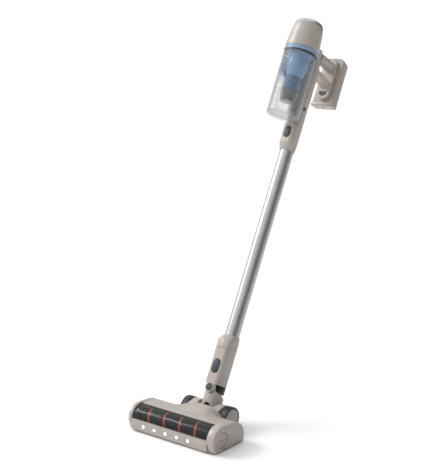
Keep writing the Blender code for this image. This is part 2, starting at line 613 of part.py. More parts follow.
def bin_shell():
    """The clear wall, with the hinge lug in front and a fixed heel behind the lid's straight edge."""
    wall = [(0.0436, BIN_HIGH), (0.0416, BIN_LOW), (0.0398, BIN_LOW), (0.0418, BIN_HIGH)]
    shell = turned("bin_shell", wall, STICK, (0, BIN_B, 0), ring=True, steps=28)
    heel = rod("bin_heel", 0.0412, 0.7447, BIN_LOW + 0.0020, STICK, (0, BIN_B, 0))
    cut(heel, block("heel_front_cut", (-0.05, -0.15, 0.73), (0.05, LID_REAR_B + GAP, 0.77), STICK))
    hinge_b = LID_HINGE[1]
    side_view = [(hinge_b - 0.0030, 0.7452), (hinge_b + 0.0028, 0.7452)]
    side_view += [(hinge_b + 0.0028, BIN_LOW + 0.0004), (BIN_B - 0.0405, BIN_LOW + 0.0004)]
    side_view += [(BIN_B - 0.0405, 0.7560), (hinge_b - 0.0030, 0.7530)]
    add(shell, heel, prism("bin_lug", side_view, -0.0040, 0.0040, "yz", STICK))
    cut(
        shell,
        block("bin_port_cut", (-0.0088, -0.0300, 0.7567), (0.0088, -0.0100, 0.7743), STICK),
        rod("bin_pin_cut", 0.0018, -0.02, 0.02, STICK, LID_HINGE, ALONG_X, 12),
    )
    part(shell, "clear")


def bin_lid():
    """The lid at the bin's foot. It stands in the frame of its hinge, and swings down about X."""
    hinge = empty("lid_frame", STICK, LID_HINGE)
    back, up = BIN_B - LID_HINGE[1], BIN_LOW - LID_HINGE[2]
    rim = [(0, up - GAP), (0.0416, up - GAP), (0.0416, -0.0020), (0.0405, -0.0033), (0, -0.0033)]
    lid = turned("bin_lid", rim, hinge, (0, back, 0), steps=28)
    cut(
        lid,
        block("lid_rear_cut", (-0.06, LID_REAR_B - LID_HINGE[1], -0.02), (0.06, 0.12, 0.02), hinge),
        block("lid_lug_cut", (-0.0044, -0.004, -0.01), (0.0044, 0.0045, 0.01), hinge),
    )
    for side, low, high in (("left", -0.0080, -0.0046), ("right", 0.0046, 0.0080)):
        add(lid, block(f"lid_knuckle_{side}", (low, -0.0028, -0.0028), (high, 0.0055, up - 0.0006), hinge))
    cut(lid, rod("lid_pin_cut", 0.0018, -0.02, 0.02, hinge, (0, 0, 0), ALONG_X, 12))
    part(lid, "clear")
    part(rod("lid_hinge_pin", 0.0015, -0.0082, 0.0082, STICK, LID_HINGE, ALONG_X, 12), "steel")


def dust_bin():
    axis = (0, BIN_B, 0)
    part(pipe("ring_band", 0.0438, 0.0345, RING_LOW, RING_HIGH, STICK, axis, steps=28), "blue")
    part(pipe("bin_seal", 0.0426, 0.0380, BIN_HIGH + GAP, RING_LOW - GAP, STICK, axis, steps=28), "black")
    bin_shell()
    bin_lid()


def cyclone():
    axis = (0, BIN_B, 0)
    outer = [(0.0342, 0.9110), (0.0342, 0.9070), (0.0282, 0.9040), (0.0275, 0.8680), (0.0212, 0.8480)]
    inner = [(0.0195, 0.8480), (0.0255, 0.8690), (0.0262, 0.9110)]
    part(turned("cyclone_body", outer + inner, STICK, axis, ring=True, steps=24), "blue")
    grille = pipe("cyclone_grille", 0.0208, 0.0188, 0.8130, 0.8477, STICK, axis, steps=24)
    slots = 12
    for i in range(slots // 2):
        turn = math.pi * i / (slots // 2)
        slot = block(f"grille_slot_cut_{i}", (-0.03, -0.0014, -0.0110), (0.03, 0.0014, 0.0110), STICK)
        slot.location = (0, BIN_B, 0.8300)
        slot.rotation_euler = (0, 0, turn)
        cut(grille, slot)
    part(grille, "blue")
    skirt = [(0.0235, 0.8127), (0.0180, 0.7830), (0.0160, 0.7830), (0.0150, 0.8000), (0.0150, 0.8127)]
    part(turned("cyclone_skirt", skirt, STICK, axis, ring=True, steps=24), "clear")
    outline = thick(arc((0, BIN_B), 0.0290, 120, 230, 10), -0.0110)
    part(prism("inlet_scroll", outline, 0.8520, 0.8930, "xy", STICK), "blue")
    duct = block("inlet_duct", (-0.0078, -0.0372, 0.7583), (0.0078, -0.0222, 0.8500), STICK)
    cut(
        duct,
        block("duct_inside_cut", (-0.0066, -0.0360, 0.7600), (0.0066, -0.0234, 0.86), STICK),
        block("duct_mouth_cut", (-0.0066, -0.0300, 0.7600), (0.0066, -0.0200, 0.7728), STICK),
    )
    part(duct, "clear")


def build():
    end_caps()
    head_cover()
    brush_window()
    front_bar()
    base_plate()
    chamber_and_duct()
    brush_drive()
    neck_socket()
    wheels()
    neck_yoke()
    neck_bellows()
    neck_housing()
    wand()
    inlet_spine()
    handle()
    battery()
    motor_unit()
    dust_bin()
    cyclone()


build()
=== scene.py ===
"""Looks of the cordless stick vacuum: materials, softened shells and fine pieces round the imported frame.

All lengths are in metres. Shapes that follow the stick are given in its own frame: the origin is on the
wheel axle, x runs across, y towards the back, and z along the stick.
"""
import json
import math

import bmesh
import bpy
from mathutils import Matrix, Vector


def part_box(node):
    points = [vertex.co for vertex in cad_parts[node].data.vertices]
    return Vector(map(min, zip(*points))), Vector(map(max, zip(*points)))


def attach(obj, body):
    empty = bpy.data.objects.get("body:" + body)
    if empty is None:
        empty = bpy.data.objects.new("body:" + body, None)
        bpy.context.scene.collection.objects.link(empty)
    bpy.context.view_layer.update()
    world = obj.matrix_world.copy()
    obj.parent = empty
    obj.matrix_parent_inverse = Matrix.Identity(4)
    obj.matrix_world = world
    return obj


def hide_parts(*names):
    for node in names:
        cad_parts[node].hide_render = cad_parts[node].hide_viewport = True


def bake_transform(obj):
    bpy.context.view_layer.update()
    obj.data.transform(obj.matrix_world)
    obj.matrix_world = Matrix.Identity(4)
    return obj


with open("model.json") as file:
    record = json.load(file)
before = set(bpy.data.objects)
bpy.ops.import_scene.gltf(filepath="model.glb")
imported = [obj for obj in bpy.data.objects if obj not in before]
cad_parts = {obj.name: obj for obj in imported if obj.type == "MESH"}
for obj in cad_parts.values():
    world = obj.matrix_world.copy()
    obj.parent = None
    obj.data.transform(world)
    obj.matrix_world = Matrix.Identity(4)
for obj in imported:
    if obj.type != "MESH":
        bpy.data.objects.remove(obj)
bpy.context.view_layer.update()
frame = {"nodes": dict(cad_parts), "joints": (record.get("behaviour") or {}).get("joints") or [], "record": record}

NODES = frame["nodes"]
JOINTS = {joint["name"]: joint for joint in frame["joints"]}
BODY_OF = {node: body for body, nodes in frame["record"]["behaviour"]["bodies"].items() for node in nodes}
SLOT_OF = {entry["node"]: entry["material_slot"] for entry in frame["record"]["subparts"]}


# ---------------------------------------------------------------- places, from the frame
def middle_of(node):
    low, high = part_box(node)
    return (low + high) / 2


AXLE = middle_of("wheel_hub_right")
ROLLER = middle_of("brush_fibre")
STICK_AXIS = Vector(JOINTS["wand_detach"]["axis"])
LEAN = math.atan2(STICK_AXIS.y, STICK_AXIS.z)
WORLD = Matrix.Identity(4)
STICK = Matrix.Translation((0, AXLE.y, AXLE.z)) @ Matrix.Rotation(-LEAN, 4, "X")
BIN = STICK @ Matrix.Translation((0, (STICK.inverted() @ Vector(JOINTS["fan_spin"]["pos_m"])).y, 0))

# ---------------------------------------------------------------- sizes
ON_AXIS = 0.0001  # radius of a lathe point that stands for the axis
TURN = 2 * math.pi
COPY_WELD, LATHE_WELD = 2e-6, 1e-6  # vertices closer than this become one
FLAT_ANGLE, CORNER_ANGLE = 2, 34  # degrees: faces closer than this are one face, edges sharper are rounded
SMOOTH_ANGLE, ROUND_ANGLE = 35, 60  # degrees: edges sharper than this stay sharp, on most pieces and on ribs
EDGE_SEGMENTS = 3
FILLET_FACTOR = 0.5

# Voxel size and smoothing passes of the moulded nodes
SOFT = {"handle": (0.0008, 6), "neck_yoke": (0.0006, 4), "neck_socket": (0.0010, 8)}
# Width of the round on the edges of the others
CRISP = {
    "end_cap_left": 0.0008,
    "end_cap_right": 0.0008,
    "head_cover": 0.0006,
    "front_bar": 0.0006,
    "base_plate": 0.0005,
    "end_cap_latch": 0.0006,
    "neck_housing": 0.0007,
    "pivot_cap": 0.0004,
    "lower_release_button": 0.0005,
    "upper_release_button": 0.0005,
    "wand_lower_collar": 0.0006,
    "wand_upper_collar": 0.0006,
    "inlet_spine": 0.0008,
    "battery_case": 0.0008,
    "battery_release_button": 0.0012,
    "trigger": 0.0010,
    "inlet_scroll": 0.0008,
    "inlet_duct": 0.0004,
}

# Floor head
TUFTS, TUFT_DIP, TUFT_CROWN = 60, 0.0013, 0.0005  # the depths are below the roller's full radius
TUFT_FROM, TUFT_TO = 0.35, 0.75  # the raised part, as shares of the step from tuft to tuft
SLEEVE_WALL = 0.0045
ROW_PITCH, ROW_WIDTH, ROW_DEPTH, ROW_MARGIN = 0.0468, 0.0056, 0.0020, 0.005
ROW_STEPS, ROW_START = 40, 3.73
WINDOW_RADIUS, WINDOW_WALL = 0.0300, 0.0020
WINDOW_FROM, WINDOW_SWEEP = 174, 95  # degrees, from the front edge over the top
WINDOW_STEPS = 60
HUMP_HALF, HUMP_SHOULDER = 0.078, 0.026  # half its width, and of the part at full height
HUMP_COLUMNS, HUMP_ROWS = 28, 16
HUMP_INSET, HUMP_REACH = 0.018, 0.006  # behind the cover's front, and past the socket's front
HUMP_SINK, HUMP_FLOOR, HUMP_RISE = 0.0012, 0.003, 0.0008
CROWN_DROP, SOCKET_RISE = 0.0004, 0.0012
COVER_FLAT, COVER_SLOPE, COVER_FALL = 0.031, 0.045, 0.026
TYRE_BORE, TYRE_EDGE, TYRE_SHOULDER, SHOULDER_WIDTH = 0.0243, 0.0022, 0.0006, 0.0012
GROOVES, GROOVE_DEPTH, GROOVE_MARGIN = 5, 0.0007, 0.003
GROOVE_HALF_TOP, GROOVE_HALF_FLOOR = 0.0008, 0.0004

# Neck and wand
HOSE_LOW, HOSE_HIGH, HOSE_RIBS = 0.0240, 0.0860, 12
TUBE_LOW, TUBE_HIGH = 0.1790, 0.6850
TUBE_OUTER, TUBE_INNER, TUBE_EDGE = 0.0177, 0.0164, 0.0003
OVAL_POINTS = 48
SEAM_BAND, SEAM_WELD, SEAM_LIFT = 0.0006, 0.0004, 0.0004
SEAM_INSIDE, SEAM_OUTSIDE = 0.94, 1.008  # the line's edges, as shares of the collar's outline

# Grille and cone of the cyclone
BARS, BAR_RADIUS, BAR_MIDDLE = 20, 0.0201, 0.8308
BAR_SIZE = (0.0022, 0.0027, 0.0340)
CONE_RIBS, CONE_RIB_DEPTH = 40, 0.0012

# Camera and light
CAMERA_PLACE = (1.5901, -2.1739, 1.0094)
CAMERA_DOWN, CAMERA_TURN = 12.165, 38.508  # degrees below level, and from straight ahead
LENS_MM, SENSOR_MM = 85.08, 36
SUN_FROM, SUN_POWER = Vector((-0.80, -0.28, 0.62)), 1.7
SUN_SPREAD = 28  # degrees
SKY_SIDE = Vector((-0.62, -0.30, 0.72))
SKY_DARK, SKY_BRIGHT = 0.13, 1.30
SKY_SPAN = (-0.35, 0.75)  # how far towards SKY_SIDE the sky goes from dark to bright
HORIZON_SHARE, HORIZON_SPAN = 0.35, (0.05, 0.42)
FLOOR_SIZE, FLOOR_DROP = 600, 0.0002

# ---------------------------------------------------------------- materials
NOISE_SPAN = (0.30, 0.70)  # most of a noise texture's values lie in here
COLOUR_SPAN = (0.32, 0.68)
DRIFT_SCALE, SMEAR_SCALE = 24, 90
FACING_BLEND, PLASTIC_IOR = 0.22, 1.5


def new_material(name):
    made = bpy.data.materials.new(name)
    made.use_nodes = True
    tree = made.node_tree
    return made, tree, tree.nodes["Principled BSDF"]


def noise(tree, scale, detail=3.0, stretch=(1, 1, 1), turn=(0, 0, 0)):
    """A noise texture in object space, stretched along the turned axes."""
    coords = tree.nodes.new("ShaderNodeTexCoord")
    mapping = tree.nodes.new("ShaderNodeMapping")
    mapping.vector_type = "TEXTURE"
    mapping.inputs["Rotation"].default_value = turn
    mapping.inputs["Scale"].default_value = stretch
    texture = tree.nodes.new("ShaderNodeTexNoise")
    texture.inputs["Scale"].default_value = scale
    texture.inputs["Detail"].default_value = detail
    tree.links.new(coords.outputs["Object"], mapping.inputs["Vector"])
    tree.links.new(mapping.outputs["Vector"], texture.inputs["Vector"])
    return texture.outputs["Fac"]


def ranged(tree, value, given, wanted):
    """Maps a value from the given span to the wanted one."""
    node = tree.nodes.new("ShaderNodeMapRange")
    node.inputs["From Min"].default_value, node.inputs["From Max"].default_value = given
    node.inputs["To Min"].default_value, node.inputs["To Max"].default_value = wanted
    tree.links.new(value, node.inputs["Value"])
    return node


def blended(tree, value, first, second):
    ramp = tree.nodes.new("ShaderNodeValToRGB")
    for element, position, colour in zip(ramp.color_ramp.elements, COLOUR_SPAN, (first, second)):
        element.position = position
        element.color = (*colour, 1)
    tree.links.new(value, ramp.inputs["Fac"])
    return ramp.outputs["Color"]


def surface(name, colour, roughness, spread=0.06, metallic=0.0, grain=1400, bump=0.12, depth=0.0002,
            vary=0.05, stretch=(1, 1, 1), turn=(0, 0, 0), coat=0.0):
    """A finish with fine grain in its bump, and slow drifts in colour and roughness."""
    made, tree, shader = new_material(name)
    fine = noise(tree, grain, 2.0, stretch, turn)
    drift = noise(tree, DRIFT_SCALE, 4.0)
    smear = noise(tree, SMEAR_SCALE, 5.0, stretch, turn)
    dark = tuple(c * (1 - vary) for c in colour)
    light = tuple(min(1, c * (1 + vary)) for c in colour)
    tree.links.new(blended(tree, drift, dark, light), shader.inputs["Base Color"])
    rough = ranged(tree, smear, NOISE_SPAN, (roughness - spread, roughness + spread))
    tree.links.new(rough.outputs["Result"], shader.inputs["Roughness"])
    shader.inputs["Metallic"].default_value = metallic
    shader.inputs["Coat Weight"].default_value = coat
    bumps = tree.nodes.new("ShaderNodeBump")
    bumps.inputs["Strength"].default_value = bump
    bumps.inputs["Distance"].default_value = depth
    tree.links.new(fine, bumps.inputs["Height"])
    tree.links.new(bumps.outputs["Normal"], shader.inputs["Normal"])
    return made


def clear(name, colour, face, edge, roughness=0.06):
    """See-through plastic: nearly clear seen straight on, and denser towards its outline."""
    made = surface(name, colour, roughness, spread=0.02, grain=260, bump=0.005, vary=0.03)
    tree = made.node_tree
    shader = tree.nodes["Principled BSDF"]
    weight = tree.nodes.new("ShaderNodeLayerWeight")
    weight.inputs["Blend"].default_value = FACING_BLEND
    density = ranged(tree, weight.outputs["Facing"], (0, 1), (face, edge))
    tree.links.new(density.outputs["Result"], shader.inputs["Alpha"])
    shader.inputs["IOR"].default_value = PLASTIC_IOR
    return made


def glowing(name, colour, strength):
    made = surface(name, colour, 0.15, spread=0.04, grain=500, bump=0.03)
    shader = made.node_tree.nodes["Principled BSDF"]
    shader.inputs["Emission Color"].default_value = (*colour, 1)
    shader.inputs["Emission Strength"].default_value = strength
    return made


MATERIALS = {
    "shell": surface("satin_taupe_plastic", (0.375, 0.338, 0.310), 0.36, coat=0.06),
    "clear": clear("clear_bin_plastic", (0.36, 0.37, 0.38), face=0.09, edge=0.95),
    "ring": clear("clear_ring_plastic", (0.26, 0.38, 0.56), face=0.80, edge=0.97, roughness=0.12),
    "slot": surface("slot_shadow", (0.012, 0.020, 0.035), 0.50, vary=0.2),
    "mesh": clear("grey_mesh", (0.34, 0.36, 0.39), face=0.42, edge=0.85, roughness=0.30),
    "window": clear("smoked_window_plastic", (0.02, 0.022, 0.025), face=0.22, edge=0.60),
    "blue": clear("clear_blue_plastic", (0.27, 0.47, 0.72), face=0.74, edge=0.95, roughness=0.12),
    "deep_blue": clear("deep_blue_plastic", (0.08, 0.26, 0.58), face=0.88, edge=0.98, roughness=0.15),
    "chrome": surface("polished_chrome", (0.47, 0.475, 0.48), 0.16, spread=0.03, metallic=1.0, bump=0.02),
    "aluminium": surface("brushed_aluminium", (0.42, 0.425, 0.435), 0.38, spread=0.05, metallic=1.0,
                         grain=1500, bump=0.10, stretch=(1, 1, 40), turn=(-LEAN, 0, 0)),
    "steel": surface("machined_steel", (0.50, 0.50, 0.51), 0.30, spread=0.08, metallic=1.0, bump=0.06),
    "grey": surface("grey_green_plastic", (0.030, 0.039, 0.044), 0.50),
    "black": surface("black_plastic", (0.022, 0.022, 0.024), 0.42, vary=0.25),
    "rubber": surface("dark_rubber", (0.028, 0.032, 0.040), 0.46, spread=0.10, grain=700, bump=0.35,
                      vary=0.20),
    "bristle": surface("dark_fibre", (0.016, 0.017, 0.019), 0.85, spread=0.08, grain=1900, bump=0.6,
                       depth=0.0004, vary=0.3),
    "red": surface("red_bristle", (0.75, 0.10, 0.045), 0.70, spread=0.10, grain=2200, bump=0.9,
                   depth=0.0006, vary=0.25),
    "filter": surface("filter_paper", (0.72, 0.70, 0.66), 0.90, spread=0.05, grain=800, bump=0.6, vary=0.10),
    "light": glowing("lamp_lens", (1.0, 1.0, 1.0), 2.2),
}
FINISH_OF = {**SLOT_OF, "brush_window": "window", "inlet_scroll": "deep_blue"}


# ---------------------------------------------------------------- pieces
def finish_with(obj, finish):
    obj.data.materials.clear()
    obj.data.materials.append(MATERIALS[finish])


def dress(obj, finish, body, replaced=()):
    """Gives a new piece its material and the body it rides on, and hides the nodes it stands for."""
    finish_with(obj, finish)
    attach(obj, body)
    if replaced:
        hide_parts(*replaced)


def linked(name, bm, matrix=WORLD, angle=SMOOTH_ANGLE):
    """A new object of the bmesh, smooth but for its sharp edges."""
    bmesh.ops.recalc_face_normals(bm, faces=bm.faces)
    bm.transform(matrix)
    mesh = bpy.data.meshes.new(name)
    bm.to_mesh(mesh)
    bm.free()
    mesh.shade_smooth()
    mesh.set_sharp_from_angle(angle=math.radians(angle))
    obj = bpy.data.objects.new(name, mesh)
    bpy.context.scene.collection.objects.link(obj)
    return obj


def skin(bm, rings, closed_path=False):
    """Joins rings of vertices with quads, and caps the two ends unless the path closes."""
    made = [[bm.verts.new(point) for point in ring] for ring in rings]
    pairs = list(zip(made, made[1:]))
    if closed_path:
        pairs.append((made[-1], made[0]))
    for first, second in pairs:
        for i in range(len(first)):
            j = (i + 1) % len(first)
            bm.faces.new((first[i], first[j], second[j], second[i]))
    if not closed_path:
        bm.faces.new(made[0][::-1])
        bm.faces.new(made[-1])


def skinned(name, rings, matrix=WORLD, angle=SMOOTH_ANGLE, closed_path=False):
    bm = bmesh.new()
    skin(bm, rings, closed_path)
    return linked(name, bm, matrix, angle)


def lathe(name, profile, matrix, steps=96, angle=SMOOTH_ANGLE):
    """A closed profile of (radius, height) turned about the local Z."""
    bm = bmesh.new()
    turns = [TURN * i / steps for i in range(steps)]
    rings = [[(r * math.cos(turn), r * math.sin(turn), z) for r, z in profile] for turn in turns]
    skin(bm, rings, closed_path=True)
    bmesh.ops.remove_doubles(bm, verts=bm.verts, dist=LATHE_WELD)
    return linked(name, bm, matrix, angle)


def along_x(centre):
    """Local Z runs along world X, through a centre."""
    return Matrix.Translation(centre) @ Matrix.Rotation(math.pi / 2, 4, "Y")


def stick_points(node):
    """The CAD node's vertices in the stick's own frame."""
    into_stick = STICK.inverted()
    return [into_stick @ vertex.co for vertex in NODES[node].data.vertices]


def copied(node, name):
    """The CAD node's mesh as a new welded object."""
    bm = bmesh.new()
    bm.from_mesh(NODES[node].data)
    bmesh.ops.remove_doubles(bm, verts=bm.verts, dist=COPY_WELD)
    bmesh.ops.dissolve_limit(bm, angle_limit=math.radians(FLAT_ANGLE), verts=bm.verts, edges=bm.edges)
    return linked(name, bm)


def apply_modifiers(obj):
    graph = bpy.context.evaluated_depsgraph_get()
    mesh = bpy.data.meshes.new_from_object(obj.evaluated_get(graph))
    obj.modifiers.clear()
    obj.data = mesh
    mesh.shade_smooth()


def soften(node, voxel, passes):
    """Stands for a moulded node with all its corners run into each other as fillets."""
    obj = copied(node, node + "_moulded")
    remesh = obj.modifiers.new("voxels", "REMESH")
    remesh.mode = "VOXEL"
    remesh.voxel_size = voxel
    smooth = obj.modifiers.new("fillets", "SMOOTH")
    smooth.factor = FILLET_FACTOR
    smooth.iterations = passes
    apply_modifiers(obj)
    dress(obj, FINISH_OF[node], BODY_OF[node], (node,))


def crisp(node, width):
    """Stands for a node whose sharp edges get a small round."""
    obj = copied(node, node + "_finished")
    bevel = obj.modifiers.new("edges", "BEVEL")
    bevel.width = width
    bevel.segments = EDGE_SEGMENTS
    bevel.limit_method = "ANGLE"
    bevel.angle_limit = math.radians(CORNER_ANGLE)
    bevel.harden_normals = True
    apply_modifiers(obj)
    dress(obj, FINISH_OF[node], BODY_OF[node], (node,))


# ---------------------------------------------------------------- camera, light and floor
def camera():
    made = bpy.data.objects.new("camera", bpy.data.cameras.new("camera"))
    bpy.context.scene.collection.objects.link(made)
    made.location = CAMERA_PLACE
    made.rotation_euler = (math.radians(90 - CAMERA_DOWN), 0, math.radians(CAMERA_TURN))
    made.data.lens = LENS_MM
    made.data.sensor_width = SENSOR_MM
    bpy.context.scene.camera = made
    bpy.context.scene.view_settings.view_transform = "Standard"


def sun():
    data = bpy.data.lights.new("sun", "SUN")
    data.energy = SUN_POWER
    data.angle = math.radians(SUN_SPREAD)
    lamp = bpy.data.objects.new("sun", data)
    lamp.rotation_euler = (-SUN_FROM).to_track_quat("-Z", "Y").to_euler()
    bpy.context.scene.collection.objects.link(lamp)


def studio_world():
    """A sky that is bright on one side and dark on the other, and dimmer towards the horizon."""
    world = bpy.data.worlds.new("studio")
    world.use_nodes = True
    tree = world.node_tree
    coords = tree.nodes.new("ShaderNodeTexCoord")
    toward = tree.nodes.new("ShaderNodeVectorMath")
    toward.operation = "DOT_PRODUCT"
    toward.inputs[1].default_value = SKY_SIDE
    tree.links.new(coords.outputs["Generated"], toward.inputs[0])
    side = ranged(tree, toward.outputs["Value"], SKY_SPAN, (SKY_DARK, SKY_BRIGHT))
    side.interpolation_type = "SMOOTHSTEP"
    height = tree.nodes.new("ShaderNodeSeparateXYZ")
    tree.links.new(coords.outputs["Generated"], height.inputs[0])
    low = ranged(tree, height.outputs["Z"], HORIZON_SPAN, (HORIZON_SHARE, 1))
    both = tree.nodes.new("ShaderNodeMath")
    both.operation = "MULTIPLY"
    tree.links.new(side.outputs["Result"], both.inputs[0])
    tree.links.new(low.outputs["Result"], both.inputs[1])
    tree.links.new(both.outputs["Value"], tree.nodes["Background"].inputs["Strength"])
    tree.nodes["Background"].inputs["Color"].default_value = (1, 1, 1, 1)
    bpy.context.scene.world = world


def floor():
    bm = bmesh.new()
    bmesh.ops.create_grid(bm, x_segments=1, y_segments=1, size=FLOOR_SIZE)
    obj = linked("floor", bm, Matrix.Translation((0, 0, -FLOOR_DROP)))
    pale = surface("pale_floor", (0.88, 0.88, 0.88), 0.75, spread=0.05, grain=60, bump=0.01, vary=0.005)
    obj.data.materials.append(pale)


# ---------------------------------------------------------------- floor head
def roller_sleeve():
    """The dark fibre sleeve, with a dip between one ring of tufts and the next."""
    low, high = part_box("brush_fibre")
    radius, step = (high.z - low.z) / 2, (high.x - low.x) / TUFTS
    outer = []
    for i in range(TUFTS):
        x = high.x - step * i
        crown = radius - TUFT_CROWN
        outer += [(radius - TUFT_DIP, x), (crown, x - step * TUFT_FROM), (crown, x - step * TUFT_TO)]
    outer.append((radius - TUFT_DIP, low.x))
    inner = [(radius - SLEEVE_WALL, low.x), (radius - SLEEVE_WALL, high.x)]
    axis = along_x((0, ROLLER.y, ROLLER.z))
    sleeve = lathe("roller_fibre", outer + inner, axis, steps=56, angle=ROUND_ANGLE)
    dress(sleeve, "bristle", "brush_roller", ("brush_fibre",))


def red_row():
    """One row of red bristle that winds along the roller."""
    low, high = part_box("brush_fibre")
    radius = (high.z - low.z) / 2
    section = [(radius - ROW_DEPTH, 0), (radius, 0), (radius, ROW_WIDTH), (radius - ROW_DEPTH, ROW_WIDTH)]
    turns = (high.x - low.x - 2 * ROW_MARGIN) / ROW_PITCH
    rings = []
    for i in range(int(turns * ROW_STEPS) + 1):
        turn = ROW_START - TURN * i / ROW_STEPS
        x = low.x + ROW_MARGIN + ROW_PITCH * i / ROW_STEPS
        rings.append([(x + dx, ROLLER.y - r * math.cos(turn), ROLLER.z + r * math.sin(turn))
                      for r, dx in section])
    dress(skinned("red_bristle_row", rings), "red", "brush_roller")


def window():
    """The clear cover over the roller, bent in one smooth curve."""
    low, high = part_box("brush_window")
    turns = [math.radians(WINDOW_FROM - WINDOW_SWEEP * i / WINDOW_STEPS) for i in range(WINDOW_STEPS + 1)]
    section = []
    for r, order in ((WINDOW_RADIUS, turns), (WINDOW_RADIUS - WINDOW_WALL, turns[::-1])):
        section += [(ROLLER.y + r * math.cos(turn), ROLLER.z + r * math.sin(turn)) for turn in order]
    rings = [[(x, y, z) for y, z in section] for x in (low.x, high.x)]
    dress(skinned("window_curve", rings), "window", "head", ("brush_window",))


def clamped(value):
    return max(0.0, min(1.0, value))


def cover_height(y, cover):
    """Height of the head's cover, which falls away behind its crown."""
    low, high = cover
    along = clamped((y - (low.y + COVER_FLAT)) / COVER_SLOPE)
    return high.z - CROWN_DROP - COVER_FALL * along ** 2.0


def hump_grid(cover, socket):
    """Rows of points for the hump's top, from the front edge back."""
    front, rear = cover[0].y + HUMP_INSET, socket[0].y + HUMP_REACH
    crown, top = cover[1].z - CROWN_DROP, socket[1].z + SOCKET_RISE
    grid = []
    for j in range(HUMP_ROWS + 1):
        y = front + (rear - front) * j / HUMP_ROWS
        base = cover_height(y, cover) - HUMP_SINK
        peak = crown + (top - crown) * (j / HUMP_ROWS) + HUMP_RISE
        line = []
        for i in range(HUMP_COLUMNS + 1):
            x = -HUMP_HALF + 2 * HUMP_HALF * i / HUMP_COLUMNS
            side = clamped((HUMP_HALF - abs(x)) / (HUMP_HALF - HUMP_SHOULDER))
            rise = side * side * (3 - 2 * side)
            line.append(Vector((x, y, base + (peak - base) * rise)))
        grid.append(line)
    return grid


def hump():
    """A smooth rise from the head's top into the socket."""
    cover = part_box("head_cover")
    grid = hump_grid(cover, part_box("neck_socket"))
    bm = bmesh.new()
    top = [[bm.verts.new(point) for point in line] for line in grid]
    base = []
    for line in grid:
        height = cover_height(line[0].y, cover)
        base.append([bm.verts.new((p.x, p.y, min(p.z, height) - HUMP_FLOOR)) for p in line])
    for j in range(HUMP_ROWS):
        for i in range(HUMP_COLUMNS):
            bm.faces.new((top[j][i], top[j][i + 1], top[j + 1][i + 1], top[j + 1][i]))
            bm.faces.new((base[j][i], base[j + 1][i], base[j + 1][i + 1], base[j][i + 1]))
    for j in range(HUMP_ROWS):
        for i in (0, HUMP_COLUMNS):
            bm.faces.new((top[j][i], top[j + 1][i], base[j + 1][i], base[j][i]))
    for i in range(HUMP_COLUMNS):
        for j in (0, HUMP_ROWS):
            bm.faces.new((top[j][i], top[j][i + 1], base[j][i + 1], base[j][i]))
    dress(linked("head_hump", bm, angle=ROUND_ANGLE), "shell", "head")


def tyre_profile(radius, width):
    """A tyre's section, with shallow grooves round its tread."""
    half, floor_radius = width / 2, radius - GROOVE_DEPTH
    edge, shoulder = radius - TYRE_EDGE, radius - TYRE_SHOULDER
    outer = [(edge, half), (shoulder, half - SHOULDER_WIDTH)]
    for i in range(GROOVES):
        x = half - GROOVE_MARGIN - (width - 2 * GROOVE_MARGIN) * i / (GROOVES - 1)
        outer += [(radius, x + GROOVE_HALF_TOP), (floor_radius, x + GROOVE_HALF_FLOOR),
                  (floor_radius, x - GROOVE_HALF_FLOOR), (radius, x - GROOVE_HALF_TOP)]
    outer += [(shoulder, SHOULDER_WIDTH - half), (edge, -half)]
    return outer + [(TYRE_BORE, -half), (TYRE_BORE, half)]


def hub_profile(face):
    """A hub's section, with a raised centre and rim. The face is the outer side's place along x."""
    raised = [(ON_AXIS, 0.99), (0.0120, 0.99), (0.0155, 0.97), (0.0165, 0.90), (0.0205, 0.90),
              (0.0215, 0.98), (0.0232, 0.98), (0.0240, 0.93), (0.0240, -0.5), (ON_AXIS, -0.5)]
    return [(radius, face * share) for radius, share in raised]


def wheel(side, sign):
    low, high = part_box(f"wheel_tread_{side}")
    radius, width = (high.z - low.z) / 2, high.x - low.x
    matrix = along_x(((low.x + high.x) / 2, AXLE.y, AXLE.z))
    tyre = lathe(f"tyre_{side}", tyre_profile(radius, width), matrix)
    dress(tyre, "rubber", f"wheel_{side}", (f"wheel_tread_{side}",))
    hub = lathe(f"hub_{side}", hub_profile(sign * width / 2), matrix, steps=72)
    dress(hub, "shell", f"wheel_{side}", (f"wheel_hub_{side}",))


# ---------------------------------------------------------------- neck and wand
def bellows():
    """The ribbed hose inside the neck, between the yoke and the neck."""
    pitch = (HOSE_HIGH - HOSE_LOW) / HOSE_RIBS
    rib = [(0.0102, 0), (0.0120, 0.25), (0.0127, 0.5), (0.0120, 0.75)]
    outer = [(radius, HOSE_HIGH - (i + share) * pitch) for i in range(HOSE_RIBS) for radius, share in rib]
    outer.append((0.0102, HOSE_LOW))
    inner = [(0.0090, HOSE_LOW), (0.0090, HOSE_HIGH)]
    hose = lathe("neck_hose", outer + inner, STICK, steps=64, angle=ROUND_ANGLE)
    hose.data.materials.append(MATERIALS["black"])
    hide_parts("neck_bellows")
    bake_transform(hose)


def tube():
    outer = [(TUBE_OUTER - TUBE_EDGE, TUBE_HIGH), (TUBE_OUTER, TUBE_HIGH - TUBE_EDGE),
             (TUBE_OUTER, TUBE_LOW + TUBE_EDGE), (TUBE_OUTER - TUBE_EDGE, TUBE_LOW)]
    inner = [(TUBE_INNER, TUBE_LOW), (TUBE_INNER, TUBE_HIGH)]
    dress(lathe("tube_skin", outer + inner, STICK), "aluminium", "wand", ("wand_tube",))


def oval(half_width, half_height, centre):
    """An upright oval about (0, centre), counter-clockwise."""
    rise = half_height - half_width
    points = []
    for i in range(OVAL_POINTS):
        turn = TURN * i / OVAL_POINTS
        lift = rise if math.sin(turn) >= 0 else -rise
        points.append((half_width * math.cos(turn), centre + lift + half_width * math.sin(turn)))
    return points


